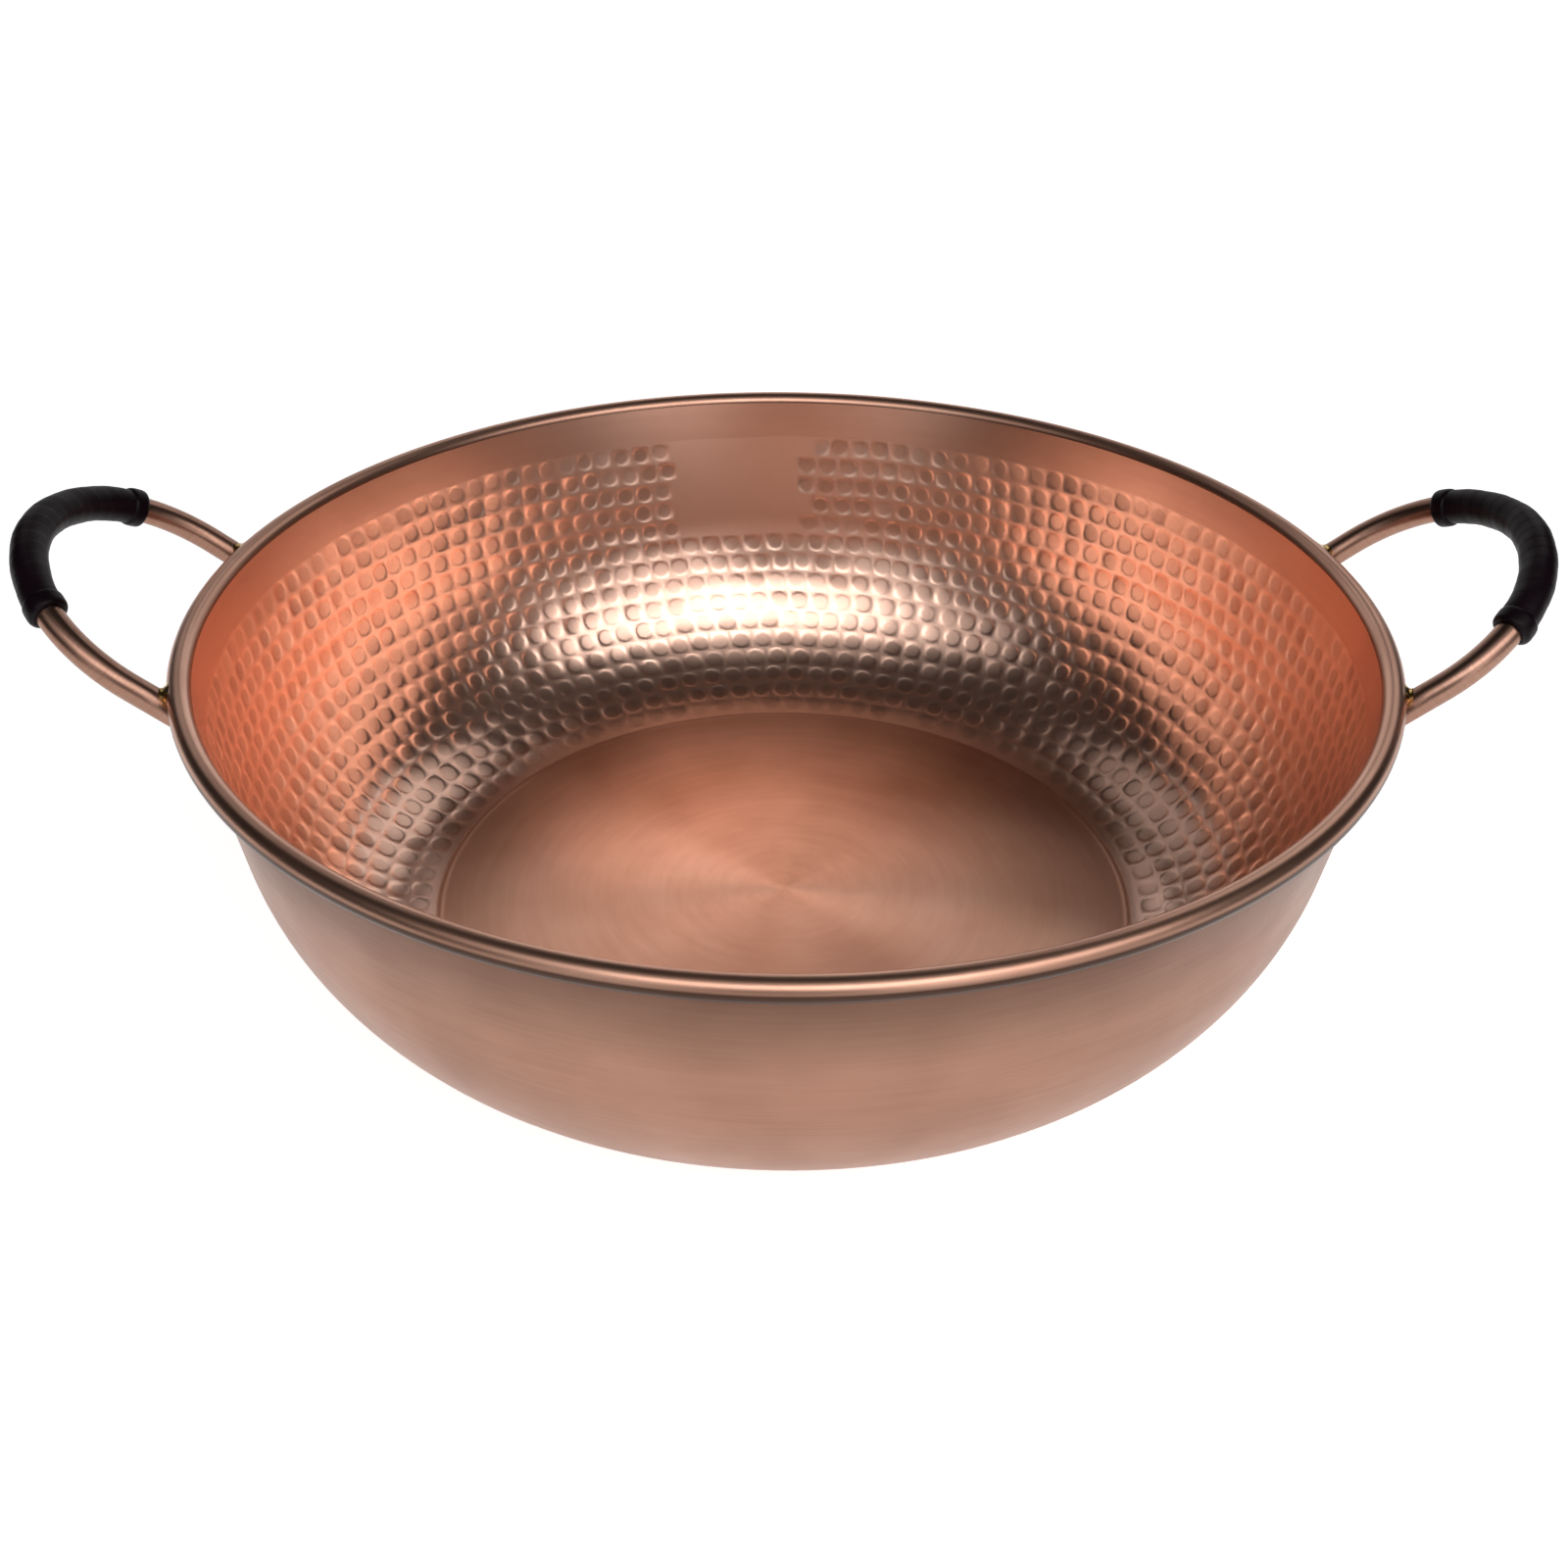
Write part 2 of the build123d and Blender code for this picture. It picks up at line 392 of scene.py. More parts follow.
def square_points(count):
    """The points of a row of squares: column, line, square, ring and direction from its middle.

    Column counts round the pan and line up the wall, from -3 to 3. The ring is the
    larger of the distances to the square's middle, in faces. Along each side of a
    square the direction turns evenly by a right angle, so its rings become circles.
    """
    column = np.arange(SIDE * count)[None, :]
    line = np.arange(SIDE + 1)[:, None] - HALF + 0 * column
    square = column // SIDE + 0 * line
    along = column % SIDE - HALF + 0 * line
    ring = np.maximum(np.abs(along), np.abs(line))
    beside = np.abs(along) >= np.abs(line)
    tangent = (np.where(beside, line, along) / np.maximum(ring, 1)
               * np.where(beside, np.sign(along), np.sign(line)))
    turn = np.where(beside, np.pi / 4 * tangent, np.pi / 2 - np.pi / 4 * tangent)
    turn = turn + np.where(np.where(beside, along, line) < 0, np.pi, 0)
    return column, line, square, ring, turn


print("a hollow drops by", RING_FALL.round(2).tolist(), "mm from its middle to its border")

# %% [markdown]
# No two blows are alike: each has its own place, size, depth and tilt, from a seeded
# random generator, so the result is the same each time. The first and last rows fade,
# because the hammer only grazed there. One patch at the rear of the wall was left
# unhammered, and stays bare here. Polish reaches the net but not the hollows, which
# keep a browner tone, so each point also says how deep in a hollow it lies.

# %% How blows stray
WANDER = ((0.9, 1, 2.6), (0.35, 3, 0.6), (0.25, 8, 2.1), (0.22, 29, 0.4))
SPACING = ((0.005, 11), (0.0012, 47))   # radians and waves round the pan
SIZE_SPREAD = 0.04         # of a hollow's radius
DEPTH_SPREAD = 0.16        # of its depth
TILT_SPREAD = 0.022        # slope of a whole hollow
UP_SPREAD = 0.06           # mm up or down the wall
ASIDE_SPREAD = 0.15        # mm along the row
BORDER = 0.49              # of a row's step, from its middle to its border
FAINT = {0: (0.3, 0.9), ROWS - 1: (0.25, 0.9)}   # least and most depth in the edge rows
BARE_DEGREES = (87, 103.5)  # round the pan from the right, where the patch without blows lies
BARE_UP = 90               # mm along the wall from the floor to that patch


def waves(angle, table, start=0):
    """start plus a sum of sine waves of an angle, each (size, waves in a turn, phase)."""
    return sum((size * np.sin(number * angle + phase) for size, number, phase in table), start)


def spaced(column, count, phase, beats):
    """Angles of columns round the pan: even steps, and two waves by which a smith's eye errs."""
    even = (column + phase) * 2 * np.pi / (SIDE * count)
    return waves(even, [(*wave, beat) for wave, beat in zip(SPACING, beats)], even)


print("rows stray by up to", np.abs(waves(np.linspace(0, 6.28, 999), WANDER)).max().round(2), "mm")

# %% One row of hollows
def hammered_row(row):
    """Points, directions and tone marks of one row, as a grid of 7 lines round the wall.

    Points on the border of a square stay on the plain wall. The others lie at the
    hollow's centre plus a radius in the direction that square_points gives. The
    surface drops in three steps from the border to the middle, and its direction
    leans towards the middle by the slope there.
    """
    count = counts[row]
    beat = rng.normal(0, 1, (5, count)).clip(-2, 2)
    phase = rng.uniform(0, SIDE)
    beats = rng.uniform(0, 2 * np.pi, len(SPACING))
    faint = {edge: rng.uniform(*span, count) for edge, span in FAINT.items()}
    shove = ASIDE_SPREAD * rng.normal(0, 1, count).clip(-2, 2)

    column, line, square, ring, turn = square_points(count)
    inside = ring < HALF
    middle_angle = spaced(SIDE * np.arange(count) + HALF, count, phase, beats)
    degrees = np.degrees(middle_angle) % 360
    size = hollow_radius[row] * (1 + SIZE_SPREAD * beat[0])
    depth = (1 + DEPTH_SPREAD * beat[1]) * faint.get(row, 1)
    bare = ((degrees > BARE_DEGREES[0]) & (degrees < BARE_DEGREES[1])
            & (row_up[row] - inner_ends[FLOOR_END] > BARE_UP))
    depth[bare] = 0
    tilt = TILT_SPREAD * beat[2:4] * (depth > 0)

    x = RING_SHARE[ring] * size[square] * np.cos(turn)
    y = RING_SHARE[ring] * size[square] * np.sin(turn)
    angle = spaced(column, count, phase, beats) + 0 * line
    up = row_up[row] + waves(angle, WANDER) + line / HALF * BORDER * ROW_STEP
    middle_up = row_up[row] + waves(middle_angle, WANDER) + UP_SPREAD * beat[4]
    up = np.where(inside, middle_up[square] + y, up)
    point, heading = inner_face(up)
    radius, height = point[..., :1], point[..., 1:]
    aside_angle = middle_angle[square] + (shove[square] + x) / radius[..., 0]
    angle = np.where(inside, aside_angle, angle)

    out = np.stack([np.cos(angle), np.sin(angle), 0 * angle], -1)
    aside = np.stack([-np.sin(angle), np.cos(angle), 0 * angle], -1)
    rise = np.array([0, 0, 1.0])
    sine, cosine = np.sin(heading)[..., None], np.cos(heading)[..., None]
    upwards = cosine * out + sine * rise
    normal = -sine * out + cosine * rise
    lean = np.where(inside, tilt[:, square], 0)
    drop = -depth[square] * RING_FALL[ring] + (lean[0] * x + lean[1] * y)
    slope = depth[square] * RING_SLOPE[ring]
    points = radius * out + height * rise + drop[..., None] * normal
    lean_x, lean_y = slope * np.cos(turn) + lean[0], slope * np.sin(turn) + lean[1]
    ways = normal - lean_x[..., None] * aside - lean_y[..., None] * upwards
    return points, ways, depth[square] * RING_MARK[ring], int(bare.sum())


hammered_rows = [hammered_row(row) for row in range(ROWS)]
print("hollows left out at the bare patch:", sum(row[3] for row in hammered_rows))

# %% [markdown]
# The other zones need no such detail, so they have fewer columns. The whole skin is one
# closed surface: it starts in the middle of the floor, climbs the wall, goes round the
# roll and into the curl, and comes back down outside to the middle of the base. Round
# the floor the spinning tool left a low ridge, which draws a thin bright line there.

# %% Rings of the smooth zones
COARSE = 192
RIDGE = 0.12               # mm, height of the ridge round the floor
RIDGE_WIDTH = 0.9          # mm from its top to where it is a third as high
coarse_angle = np.arange(COARSE) * 2 * np.pi / COARSE


def ringed(points, ways):
    """Turns section points and directions (across, up) about the axis into whole rings."""
    out = np.stack([np.cos(coarse_angle), np.sin(coarse_angle), 0 * coarse_angle], -1)
    rise = np.array([0, 0, 1.0])
    return (points[:, None, :1] * out + points[:, None, 1:] * rise,
            ways[:, None, :1] * out + ways[:, None, 1:] * rise)


def skin_rows(face, lengths, side):
    """Rings of one face at the given lengths; side is 1 on the inner face, -1 on the outer."""
    points, heading = face(np.asarray(lengths, float))
    return ringed(points, side * np.stack([-np.sin(heading), np.cos(heading)], -1))


def floor_rings(lengths):
    """Rings of the floor, with a ridge along its edge.

    The ridge is a bell curve of the distance from the edge, and the surface's
    direction leans back by the slope of that curve.
    """
    points, heading = inner_face(lengths)
    normal = np.stack([-np.sin(heading), np.cos(heading)], -1)
    along = np.stack([np.cos(heading), np.sin(heading)], -1)
    offset = (lengths - FLOOR_RADIUS)[:, None] / RIDGE_WIDTH
    height = RIDGE * np.exp(-offset ** 2)
    slope = -2 * offset / RIDGE_WIDTH * height
    return ringed(points + height * normal, normal - slope * along)


# %% Where the rings lie
floor_rows = np.concatenate([
    [7, 22, 40, 58, 76, 92, 106, 115, 120],
    np.linspace(FLOOR_RADIUS - 2.4, inner_ends[HEEL_END], 13)])
band_rows = np.linspace(HAMMER_END + 2.2, inner_ends[WALL_END], 5)
roll_rows = np.linspace(inner_ends[WALL_END], inner_ends[CURL_END], 27)[1:]
curl_rows = np.linspace(outer_ends[CURL_END], outer_ends[WALL_END], 12)
outside_rows = np.concatenate([
    np.linspace(outer_ends[WALL_END], outer_ends[BELLY_END], 5)[1:],
    np.linspace(outer_ends[BELLY_END], outer_ends[LOW_END], 14)[1:],
    np.linspace(outer_ends[LOW_END], outer_ends[HEEL_END], 11)[1:],
    np.linspace(outer_ends[HEEL_END], outer_ends[FLOOR_END], 3)[1:],
    [120, 100, 75, 50, 25, 8]])
print("rings: floor", len(floor_rows), "hammered", (SIDE + 1) * ROWS,
      "band and roll", len(band_rows) + len(roll_rows),
      "curl and outside", len(curl_rows) + len(outside_rows))

# %% [markdown]
# Two rings with different numbers of points are stitched with triangles. Walking round
# both rings at once, each step goes to whichever point comes next, on one ring or the
# other, and the step and the last point on the other ring make a triangle.

# %% Stitching two rings
def stitch(low, high, points):
    """Triangles between two closed rings of vertex numbers, from the sorted angles of all."""
    def by_angle(ring):
        angle = np.arctan2(points[ring, 1], points[ring, 0]) % (2 * np.pi)
        order = np.argsort(angle)
        return ring[order], angle[order]

    (low, low_angle), (high, high_angle) = by_angle(low), by_angle(high)
    on_low = np.argsort(np.concatenate([low_angle, high_angle]), kind="stable") < len(low)
    low_next = np.cumsum(on_low) - on_low
    high_next = np.cumsum(~on_low) - ~on_low
    here = low[low_next - 1]
    beside = high[high_next - 1]
    ahead = np.where(on_low, low[low_next % len(low)], high[high_next % len(high)])
    return np.stack([here, beside, ahead], -1)


def numbered(grids, first):
    """Vertex numbers of each grid of points, counted on from the first."""
    sizes = [grid.shape[0] * grid.shape[1] for grid in grids]
    starts = first + np.cumsum([0, *sizes])
    return [start + np.arange(size).reshape(grid.shape[:2])
            for start, size, grid in zip(starts, sizes, grids)]


# %% Join the zones into one skin
FLOOR, HAMMERED, BAND, RIM, OUTSIDE = range(5)   # numbers of the finishes


def make_bowl():
    """The closed skin of the bowl: points, faces with the directions of corners, tone marks."""
    smooth = [(*zone, np.zeros(zone[0].shape[:2])) for zone in (
        floor_rings(floor_rows),
        skin_rows(inner_face, [*band_rows, *roll_rows], 1),
        skin_rows(outer_face, [*curl_rows, *outside_rows], -1))]
    grids = [smooth[0], *[row[:3] for row in hammered_rows], *smooth[1:]]
    poles = np.array([[0, 0, SHEET], [0, 0, 0]])
    pole_ways = np.array([[0, 0, 1.0], [0, 0, -1.0]])
    points = np.concatenate([poles, *[grid[0].reshape(-1, 3) for grid in grids]])
    ways = np.concatenate([pole_ways, *[grid[1].reshape(-1, 3) for grid in grids]])
    marks = np.concatenate([np.zeros(2), *[grid[2].ravel() for grid in grids]])
    low, *walls, roll, back = numbered([grid[0] for grid in grids], len(poles))
    groups = []

    def skin(faces, finish_number, directions=None):
        groups.append((faces, ways[faces] if directions is None else directions, finish_number))

    skin(fan_faces(low[0], 0, True), FLOOR)
    skin(grid_faces(low), FLOOR)
    skin(stitch(low[-1], walls[0][0], points), HAMMERED)
    for wall in walls:
        skin(grid_faces(wall), HAMMERED)
    for below, above in zip(walls[:-1], walls[1:]):
        skin(stitch(below[-1], above[0], points), HAMMERED)
    skin(stitch(walls[-1][-1], roll[0], points), BAND)
    skin(grid_faces(roll[:len(band_rows)]), BAND)
    skin(grid_faces(roll[len(band_rows) - 1:]), RIM)
    edge = grid_faces(np.stack([roll[-1], back[0]]))
    flat = np.cross(points[edge[:, 1]] - points[edge[:, 0]], points[edge[:, 3]] - points[edge[:, 0]])
    skin(edge, RIM, np.repeat(flat[:, None], 4, 1))
    skin(grid_faces(back[:len(curl_rows)]), RIM)
    skin(grid_faces(back[len(curl_rows) - 1:]), OUTSIDE)
    skin(fan_faces(back[-1], 1, False), OUTSIDE)
    return points, groups, marks


bowl_points, bowl_groups, bowl_marks = make_bowl()
bowl = build("bowl_skin", bowl_points, bowl_groups,
             [floor_copper, hammered_copper, band_copper, rim_copper, outside_copper])
hollow_mark = bowl.data.attributes.new("hollow", "FLOAT", "POINT")
hollow_mark.data.foreach_set("value", bowl_marks.clip(0, 1).astype(np.float32))
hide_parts("bowl")
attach(bowl, "root")

# %% [markdown]
# ## The wire in the rim
#
# The rim is rolled round a drawn steel wire that can only be seen through the narrow
# slit under the roll. The model's own ring has the right shape, so it stays and only
# gets its finish.

# %% Drawn steel
def drawn_steel():
    """Plain steel wire: grey metal, with fine lines 0.2 mm apart along it from the die."""
    material, tree, shader, place = finish("steel_wire_drawn")
    lines = add(tree, "ShaderNodeTexNoise", {"Scale": 1.0, "Detail": 2.0},
                {"Vector": ring_place(tree, place, 1000 / 0.2 / 2, 2)})
    polish = add(tree, "ShaderNodeMapRange", {"To Min": 0.3, "To Max": 0.45},
                 {"Value": lines.outputs[0]})
    shader.inputs["Base Color"].default_value = colour("#B4B3B0")
    shader.inputs["Metallic"].default_value = 1.0
    tree.links.new(polish.outputs[0], shader.inputs["Roughness"])
    return material


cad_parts["rim_wire"].data.materials.clear()
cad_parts["rim_wire"].data.materials.append(drawn_steel())
print("rim_wire keeps its shape, with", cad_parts["rim_wire"].data.materials[0].name)

# %% [markdown]
# ## The handles
#
# Each loop is a copper rod, bent cold on a jig: two straight legs, two corners and a
# flatter crown between them, all in one plane that rises outwards. A bent rod keeps
# its round section, so its surface is a circle carried along the centre line.
# The left loop is the right one turned half round the pan's axis.

# %% Centre line of a loop
ROD_RADIUS = 4.4
TILT = np.radians(37.4)    # the loop's plane rises outwards
LOOP_FOOT = np.array([189.082, 0.0, 105.025])   # where that plane's own zero lies
LEG_SIDE = 52.375          # half the distance between the two legs
CORNER_U = 17.863          # where a leg ends and its corner starts
CORNER = (47.5, 55.0)      # radius and turn of each corner
CROWN = (56.0, 70.0)       # radius and turn of the crown between them
LEG = 60.0                 # straight leg, from well inside the pan to its corner

loop_spans = [(LEG, 0), arc(*CORNER), arc(*CROWN), arc(*CORNER), (LEG, 0)]
loop_length = sum(size for size, turn in loop_spans)
across_loop = np.array([np.cos(TILT), 0, np.sin(TILT)])
along_rim = np.array([0, 1.0, 0])
off_loop = np.array([-np.sin(TILT), 0, np.cos(TILT)])


def loop_line(length):
    """Points of the centre line, and the direction square to it in the loop's plane."""
    flat, heading = chain((CORNER_U - LEG, -LEG_SIDE), 0, loop_spans, length)
    line = LOOP_FOOT + flat[..., :1] * across_loop + flat[..., 1:] * along_rim
    inwards = -np.sin(heading)[..., None] * across_loop + np.cos(heading)[..., None] * along_rim
    return line, inwards


def loop_skin(length, radius, sides):
    """Rings about the centre line: each point is the line's point plus a radius in its own way.

    length has one value for each ring and radius one for each point of each ring.
    """
    turn = np.arange(sides) * 2 * np.pi / sides
    line, inwards = loop_line(length)
    way = np.cos(turn)[:, None] * inwards[:, None] - np.sin(turn)[:, None] * off_loop
    return line[:, None] + np.asarray(radius)[..., None] * way, way


print("centre line of a loop between its corners:", round(loop_length - 2 * LEG, 1), "mm")

# %% A closed tube, and the four places for one
half_turn = np.array([-1, -1, 1])
SIDES = (("right", 1, 1), ("left", half_turn, -1))   # name, turn about the axis, way it faces
ENDS = (("front", -1), ("rear", 1))


def closed_tube(name, rings, material, ends=None):
    """A closed skin from rings and a point at each end, by default its ring's middle."""
    if ends is None:
        ends = np.array([rings[0].mean(0), rings[-1].mean(0)])
    rows, sides = rings.shape[:2]
    numbers = 2 + np.arange(rows * sides).reshape(rows, sides)
    groups = [(fan_faces(numbers[0], 0, True), None, 0),
              (grid_faces(numbers), None, 0),
              (fan_faces(numbers[-1], 1, False), None, 0)]
    return build(name, np.concatenate([ends, rings.reshape(-1, 3)]), groups, [material])


# %% [markdown]
# Both feet of a rod are filed to the wall under the roll. To end the new skin there,
# each line along the rod is followed inwards until it lies just inside the sheet. The
# distance to the wall comes from its section: the nearest point of it, and on which
# side of it the point lies.

# %% Distance to the bowl
STRIDE = 0.15              # mm between the tries on the way to the wall
FOOT_SUNK = 0.6            # mm that a foot ends inside the wall's outer face
GAP_BLEND = 4              # mm, reach of the blend between wall and roll

section_length = np.linspace(outer_ends[HEEL_END], outer_ends[WALL_END], 400)
section_points, section_heading = outer_face(section_length)
section_ways = np.stack([np.sin(section_heading), -np.cos(section_heading)], -1)


def section_place(points):
    """Radius and height of points in space."""
    return np.stack([np.hypot(points[..., 0], points[..., 1]), points[..., 2]], -1)


def wall_distance(points):
    """Distance outside the wall's outer face; it is negative inside."""
    flat = section_place(points)
    away = flat[..., None, :] - section_points
    nearest = (away ** 2).sum(-1).argmin(-1)
    return ((flat - section_points[nearest]) * section_ways[nearest]).sum(-1)


def foot_distance(points):
    """Distance outside the face on which the feet end."""
    return wall_distance(points) + FOOT_SUNK


def bowl_distance(points):
    """Distance to wall and roll together, less a blend that bridges the gap between them."""
    wall = wall_distance(points)
    roll = np.linalg.norm(section_place(points) - ROLL_CENTRE, axis=-1) - ROLL_RADIUS
    near = np.maximum(GAP_BLEND - np.abs(wall - roll), 0) / GAP_BLEND
    return np.minimum(wall, roll) - near ** 2


def first_contact(starts, step, reach, distance):
    """How far each point goes along the step before the distance drops under zero."""
    travel = np.arange(0, reach, STRIDE)
    values = distance(starts[..., None, :] + travel[:, None] * step)
    at = np.maximum((values < 0).argmax(-1), 1)
    before = np.take_along_axis(values, at[..., None] - 1, -1)[..., 0]
    after = np.take_along_axis(values, at[..., None], -1)[..., 0]
    return travel[at - 1] + STRIDE * before / np.maximum(before - after, 1e-9)


# %% Rods, from foot to foot
ROD_SIDES = 48
RING_STEP = 1.9            # mm between the rings round the bend
STRAIGHT = 4.0             # mm of each leg between its corner and the ring that is followed


def make_rod(name, side):
    """A round rod along the loop whose two end rings lie just inside the wall's outer face."""
    bend = np.arange(LEG, loop_length - LEG + 0.1, RING_STEP)
    lengths = np.concatenate([[LEG - STRAIGHT], bend, [loop_length - LEG + STRAIGHT]])
    rings = loop_skin(lengths, np.full((len(lengths), ROD_SIDES), ROD_RADIUS), ROD_SIDES)[0]
    travels = [first_contact(ring, -across_loop, LEG, foot_distance) for ring in rings[[0, -1]]]
    feet = [ring - travel[:, None] * across_loop for ring, travel in zip(rings[[0, -1]], travels)]
    print("feet end", travels[0].min().round(1), "to", travels[0].max().round(1), "mm further in")
    return closed_tube(name, np.stack([feet[0], *rings, feet[1]]) * side, rod_copper)


# Painted shade: the rods have a darker copper than the inside.
rod_copper = copper("copper_rod_polished_painted_shade", "#AE8877", "#96705F", 0.28, 0.34,
                    mark_mm=0.6, around=30, relief=0.02)
for name, side, facing in SIDES:
    rod = make_rod(f"{name}_rod_skin", side)
    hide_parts(f"{name}_handle_rod")
    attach(rod, "root")

# %% [markdown]
# ## Brazing
#
# The rods are joined to the pan with a brass filler that runs into the corner between
# rod and rim and sets there as a small hollow fillet, yellower than the copper. A
# torus could stand for it, but the corner isn't flat: it bends round the roll and into
# the gap under it. So the corner is measured first, as the height at which a line
# beside the rod meets the bowl, and a quarter-round fillet is laid on that height.

# %% Brass
def brass():
    """Brazing brass: a yellow metal, flowed and a little uneven, with tones 3 mm apart."""
    material, tree, shader, place = finish("brass_braze_flowed")
    flow = add(tree, "ShaderNodeTexNoise", {"Scale": 1000 / 3, "Detail": 3.0}, {"Vector": place})
    tone = add(tree, "ShaderNodeMix",
               {"data_type": "RGBA", 6: colour("#B88A4C"), 7: colour("#E6C583")},
               {0: flow.outputs[0]})
    bump = add(tree, "ShaderNodeBump", {"Strength": 0.35, "Distance": 0.0003},
               {"Height": flow.outputs[0]})
    shader.inputs["Metallic"].default_value = 1.0
    shader.inputs["Roughness"].default_value = 0.2
    tree.links.new(tone.outputs[2], shader.inputs["Base Color"])
    tree.links.new(bump.outputs[0], shader.inputs["Normal"])
    return material


# %% Fillets
FILLET = 3.3               # mm, radius of the quarter circle
FILLET_WAVES = ((0.35, 1), (0.25, 3))   # mm and waves round the rod
FILLET_ROWS = 9
FILLET_SEED = {"right": 5, "left": 4}


def make_braze(name, end, side, seed):
    """A fillet round one foot.

    At each direction round the rod it is a quarter circle in the corner between
    rod and bowl. Its edge on the bowl lies 0.15 mm deep and its edge on the rod 0.2.
    """
    phases = np.random.default_rng(seed).uniform(0, 6.28, len(FILLET_WAVES))
    turn = np.arange(ROD_SIDES) * 2 * np.pi / ROD_SIDES
    width = waves(turn, [(*wave, phase) for wave, phase in zip(FILLET_WAVES, phases)], FILLET)
    out = width * np.linspace(0, 1, FILLET_ROWS)[:, None]
    base = np.full(FILLET_ROWS, LEG - STRAIGHT if end < 0 else loop_length - LEG + STRAIGHT)
    starts, ways = loop_skin(base, ROD_RADIUS + out, ROD_SIDES)
    drop = first_contact(starts, -across_loop, 40, bowl_distance)
    fillet = width - np.sqrt(np.maximum(width ** 2 - (out - width) ** 2, 0))
    fillet[-1] -= 0.15
    rings = starts - (drop - fillet)[..., None] * across_loop
    rings[0] -= 0.2 * ways[0]
    axis = loop_line(base[:1])[0]
    inner = axis - (drop[0].mean() - width.mean()) * across_loop
    outer = axis - (drop[-1].mean()) * across_loop
    if end < 0:
        rings, inner, outer = rings[::-1], outer, inner
    return closed_tube(name, rings * side, brass_finish, np.concatenate([inner, outer]) * side)


brass_finish = brass()
for name, side, facing in SIDES:
    for end_name, end in ENDS:
        braze = make_braze(f"{name}_{end_name}_braze_skin", end * facing, side, FILLET_SEED[name] + end)
        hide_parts(f"{name}_{end_name}_braze")
        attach(braze, "root")

# %% [markdown]
# ## Grips
#
# A flat black strip is wound round the bent part of each loop so that a hand can hold
# it while the pan is hot. Each turn laps the last one, which leaves low steps that run
# round the grip at a slant, and both ends are bound by a thicker band. The surface is
# the loop's centre line with a radius that steps down once in each turn of the strip.

# %% Black strip
def black_strip(name, light, dark, rough):
    """Matt black strip with a plum cast: fine grain 0.7 mm wide and slow shine 9 mm across."""
    material, tree, shader, place = finish(name)
    grain = add(tree, "ShaderNodeTexNoise", {"Scale": 1000 / 0.7, "Detail": 2.0}, {"Vector": place})
    slow = add(tree, "ShaderNodeTexNoise", {"Scale": 1000 / 9, "Detail": 2.0}, {"Vector": place})
    tone = add(tree, "ShaderNodeMix", {"data_type": "RGBA", 6: colour(dark), 7: colour(light)},
               {0: slow.outputs[0]})
    polish = add(tree, "ShaderNodeMapRange", {"To Min": rough - 0.08, "To Max": rough + 0.1},
                 {"Value": slow.outputs[0]})
    bump = add(tree, "ShaderNodeBump", {"Strength": 0.3, "Distance": 0.0002},
               {"Height": grain.outputs[0]})
    shader.inputs["Specular IOR Level"].default_value = 0.12
    tree.links.new(tone.outputs[2], shader.inputs["Base Color"])
    tree.links.new(polish.outputs[0], shader.inputs["Roughness"])
    tree.links.new(bump.outputs[0], shader.inputs["Normal"])
    return material


wrap_black = black_strip("black_strip_wound", "#160710", "#0D0409", 0.44)
band_black = black_strip("black_band_bound", "#12060D", "#0A0307", 0.38)
print("grip finishes:", wrap_black.name, "and", band_black.name)

# %% Wound grips
GRIP_RADIUS = 6.0
GRIP_HALF = 49.0
GRIP_SHIFT = 3.3           # the grip sits a little off the crown's middle
GRIP_MIDDLE = loop_length / 2 - GRIP_SHIFT
GRIP_SIDES = 40
GRIP_ROWS = 241
STRIP_STEP = 5.2           # mm that each turn of the strip moves on
STRIP_FALL = 0.06          # mm that the radius falls over one turn
STRIP_FLAT = 0.85          # share of a turn over which it falls
STRIP_CLIMB = 0.15         # share of a turn over which it climbs back
SLACK = 0.1                # mm kept under the full radius, for the soft waves below
END_ROUND = 1.2            # mm over which each end is rounded off
END_DROP = 0.8             # mm that it drops there


def make_wrap(name, side):
    """The wound strip.

    The radius falls over each turn of the strip and climbs back at its edge, and two
    soft waves run round the grip at a slant, as the hand wound it.
    """
    lengths = np.linspace(GRIP_MIDDLE - GRIP_HALF, GRIP_MIDDLE + GRIP_HALF, GRIP_ROWS)
    turn = np.arange(GRIP_SIDES) / GRIP_SIDES
    place = (lengths[:, None] / STRIP_STEP + turn) % 1
    climb = -1 + (place - STRIP_FLAT) / STRIP_CLIMB
    step = np.where(place < STRIP_FLAT, -place / STRIP_FLAT, climb)
    soft = (0.08 * np.sin(lengths[:, None] / 6.1 + 6.28 * turn)
            + 0.06 * np.sin(lengths[:, None] / 2.3 + 12.57 * turn))
    radius = GRIP_RADIUS + STRIP_FALL * step + soft - SLACK
    end = np.minimum(lengths - lengths[0], lengths[-1] - lengths)[:, None]
    radius = radius - END_DROP * np.maximum(0, 1 - end / END_ROUND) ** 2
    return closed_tube(name, loop_skin(lengths, radius, GRIP_SIDES)[0] * side, wrap_black)


# %% Their bands
BAND_RADIUS = 6.75
BAND_LENGTH = 6.0
BAND_FOOT = 5.2            # radius of its edges, under the strip's face
BAND_ROOM = 0.2            # mm kept under its full radius, for its lumps
BAND_ROWS = 25


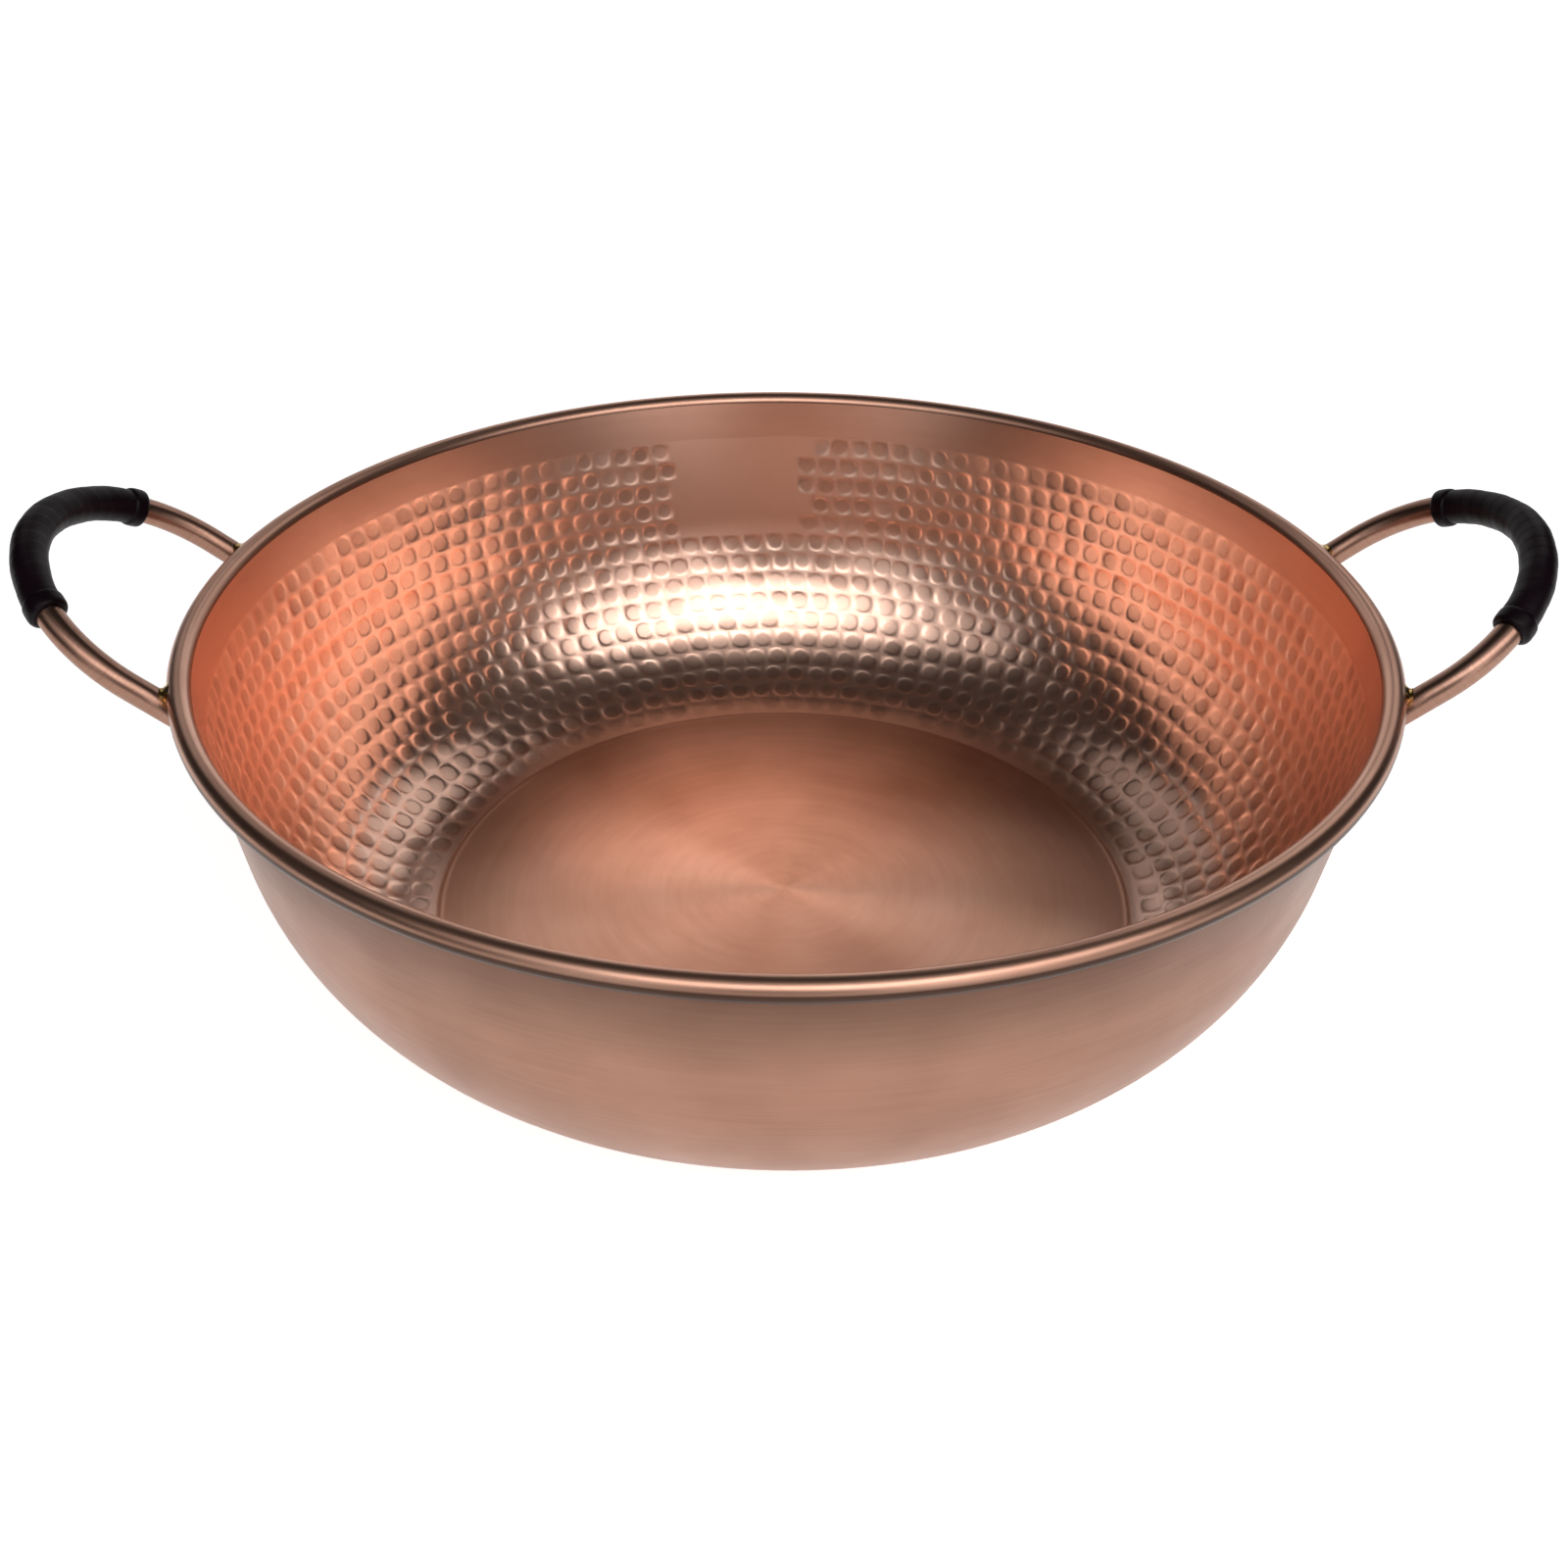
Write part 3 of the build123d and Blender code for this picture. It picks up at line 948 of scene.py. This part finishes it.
def make_band(name, end, side):
    """A rounded bead at one end of the grip.

    Along it the radius swells by the root of one minus the fourth power of the
    distance from its middle, and two lumpy waves run round it.
    """
    first = GRIP_MIDDLE + (GRIP_HALF - BAND_LENGTH if end > 0 else -GRIP_HALF)
    share = np.linspace(0, 1, BAND_ROWS)
    bulge = (1 - np.abs(2 * share - 1) ** 4)[:, None] ** 0.5
    turn = np.arange(GRIP_SIDES) / GRIP_SIDES * 2 * np.pi
    lumps = waves(turn, ((0.12, 1, 1.7 * end), (0.07, 3, 0)))
    radius = BAND_FOOT + (BAND_RADIUS - BAND_FOOT - BAND_ROOM) * bulge + lumps * bulge
    rings = loop_skin(first + BAND_LENGTH * share, radius, GRIP_SIDES)[0]
    return closed_tube(name, rings * side, band_black)


for name, side, facing in SIDES:
    wrap = make_wrap(f"{name}_wrap_skin", side)
    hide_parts(f"{name}_grip_wrap")
    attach(wrap, "root")
    for end_name, end in ENDS:
        band = make_band(f"{name}_{end_name}_band_skin", end * facing, side)
        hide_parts(f"{name}_{end_name}_band")
        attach(band, "root")

# %% [markdown]
# ## Floor, light and camera
#
# The pan stands on a plain white floor. Polished metal shows whatever is around it, so
# a plain studio is a set of large soft panels: their reflections draw the shape. One
# big lamp could light the pan too, but each part of the wall mirrors its own part of
# the room, so several panels let each part have its brightness. Most of the light
# comes over the viewer's shoulders, and draws the bright patch low on the rear wall.

# %% Floor
FLOOR_HALF = 5             # m
FLOOR_GLOW = 0.80          # share of its white that doesn't need the lamps


def pale_floor():
    """Matt white floor, with part of its white from a glow that eyes and metal see alike."""
    material, tree, shader, place = finish("floor_white_matt")
    shader.inputs["Base Color"].default_value = colour("#D9D8D6")
    shader.inputs["Roughness"].default_value = 0.9
    shader.inputs["Specular IOR Level"].default_value = 0.1
    seen = add(tree, "ShaderNodeLightPath")
    both = add(tree, "ShaderNodeMath", {"operation": "MAXIMUM"},
               {0: seen.outputs["Is Camera Ray"], 1: seen.outputs["Is Glossy Ray"]})
    any_ray = add(tree, "ShaderNodeMath", {"operation": "MAXIMUM"},
                  {0: both.outputs[0], 1: seen.outputs["Is Transmission Ray"]})
    glow = add(tree, "ShaderNodeMath", {"operation": "MULTIPLY", 1: FLOOR_GLOW},
               {0: any_ray.outputs[0]})
    shader.inputs["Emission Color"].default_value = (1, 1, 1, 1)
    tree.links.new(glow.outputs[0], shader.inputs["Emission Strength"])
    return material


floor_corners = [(FLOOR_HALF * x, FLOOR_HALF * y, 0) for x, y in ((-1, -1), (1, -1), (1, 1), (-1, 1))]
ground = bpy.data.meshes.new("floor")
ground.from_pydata(floor_corners, [], [(0, 1, 2, 3)])
ground.materials.append(pale_floor())
floor = bpy.data.objects.new("floor", ground)
bpy.context.scene.collection.objects.link(floor)
print("floor", 2 * FLOOR_HALF, "m wide")

# %% Light panels
PANEL_SIDE = 0.87          # m
PANEL_AWAY = 2.0           # m from the middle of the pan
PANEL_AIM = np.array([0, 0, 0.06])   # m, the middle of the pan
# Name, degrees from the rear towards the right, degrees up, watts, own side in m:
PANELS = (
    ("viewer_far_right", 131, 40, 5.9), ("viewer_right", 164, 42, 7.8),
    ("viewer_left", 196, 42, 6.2), ("viewer_far_left", 229, 40, 1.6),
    ("viewer_low_far_right", 129, 14, 0.9), ("viewer_low_right", 154, 14, 3.2),
    ("viewer_low_left", 206, 14, 1.8),
    ("rear", 357, 35, 0.65, 0.45), ("rear_right", 33, 38, 2.2), ("rear_left", 327, 38, 0.9),
    ("rear_low", 0, 14, 2.4), ("rear_low_right", 26, 14, 1.4), ("rear_low_left", 334, 14, 1.4),
    ("high_right", 154, 62, 1.1), ("high_left", 206, 62, 0.6))


def panel(name, round_about, up, watts, side=PANEL_SIDE):
    """A square lamp that faces the pan.

    Its place is a unit vector at the two angles times its distance, and its own
    axes are that vector and the two directions square to it.
    """
    lamp = bpy.data.lights.new(name, "AREA")
    lamp.shape = "SQUARE"
    lamp.size = side
    lamp.energy = watts
    turn, rise = np.radians([round_about, up])
    back = np.array([np.sin(turn) * np.cos(rise), np.cos(turn) * np.cos(rise), np.sin(rise)])
    right = np.cross([0, 0, 1], back) / np.cos(rise)
    axes = np.stack([right, np.cross(back, right), back, PANEL_AIM + PANEL_AWAY * back], 1)
    holder = bpy.data.objects.new(name, lamp)
    holder.matrix_world = Matrix([*axes.tolist(), (0, 0, 0, 1)])
    bpy.context.scene.collection.objects.link(holder)


for name, *place in PANELS:
    panel(f"panel_{name}", *place)
print(len(PANELS), "panels,", round(sum(place[3] for place in PANELS), 1), "W together")

# %% World
WORLD_GLOW = 0.01          # the studio beyond the panels is dark, which keeps the copper's depth
world = bpy.data.worlds.new("studio")
world.use_nodes = True
bpy.context.scene.world = world
background = world.node_tree.nodes["Background"]
background.inputs["Color"].default_value = colour("#FFFFFF")
background.inputs["Strength"].default_value = WORLD_GLOW
print("world strength", WORLD_GLOW)

# %% [markdown]
# ## Camera
#
# The photograph looks down on the pan by a little over a third of a right angle, from
# about 70 cm away. Its place and lens were found by fitting the drawn outline of the
# rim and floor to the outline in the picture.

# %% Camera as in the photograph
lens = bpy.data.cameras.new("camera")
lens.sensor_width = 36.0   # mm
lens.lens = 42.75          # mm
lens.clip_start = 0.01     # m
camera = bpy.data.objects.new("camera", lens)
camera.location = (-0.01219, -0.55413, 0.40395)
camera.rotation_euler = np.radians([57.2031, -0.5346, -0.8697])
bpy.context.scene.collection.objects.link(camera)
bpy.context.scene.camera = camera
bpy.context.scene.view_settings.view_transform = "Standard"
print("camera at", [round(v, 3) for v in camera.location], "with a lens of", round(lens.lens, 2), "mm")
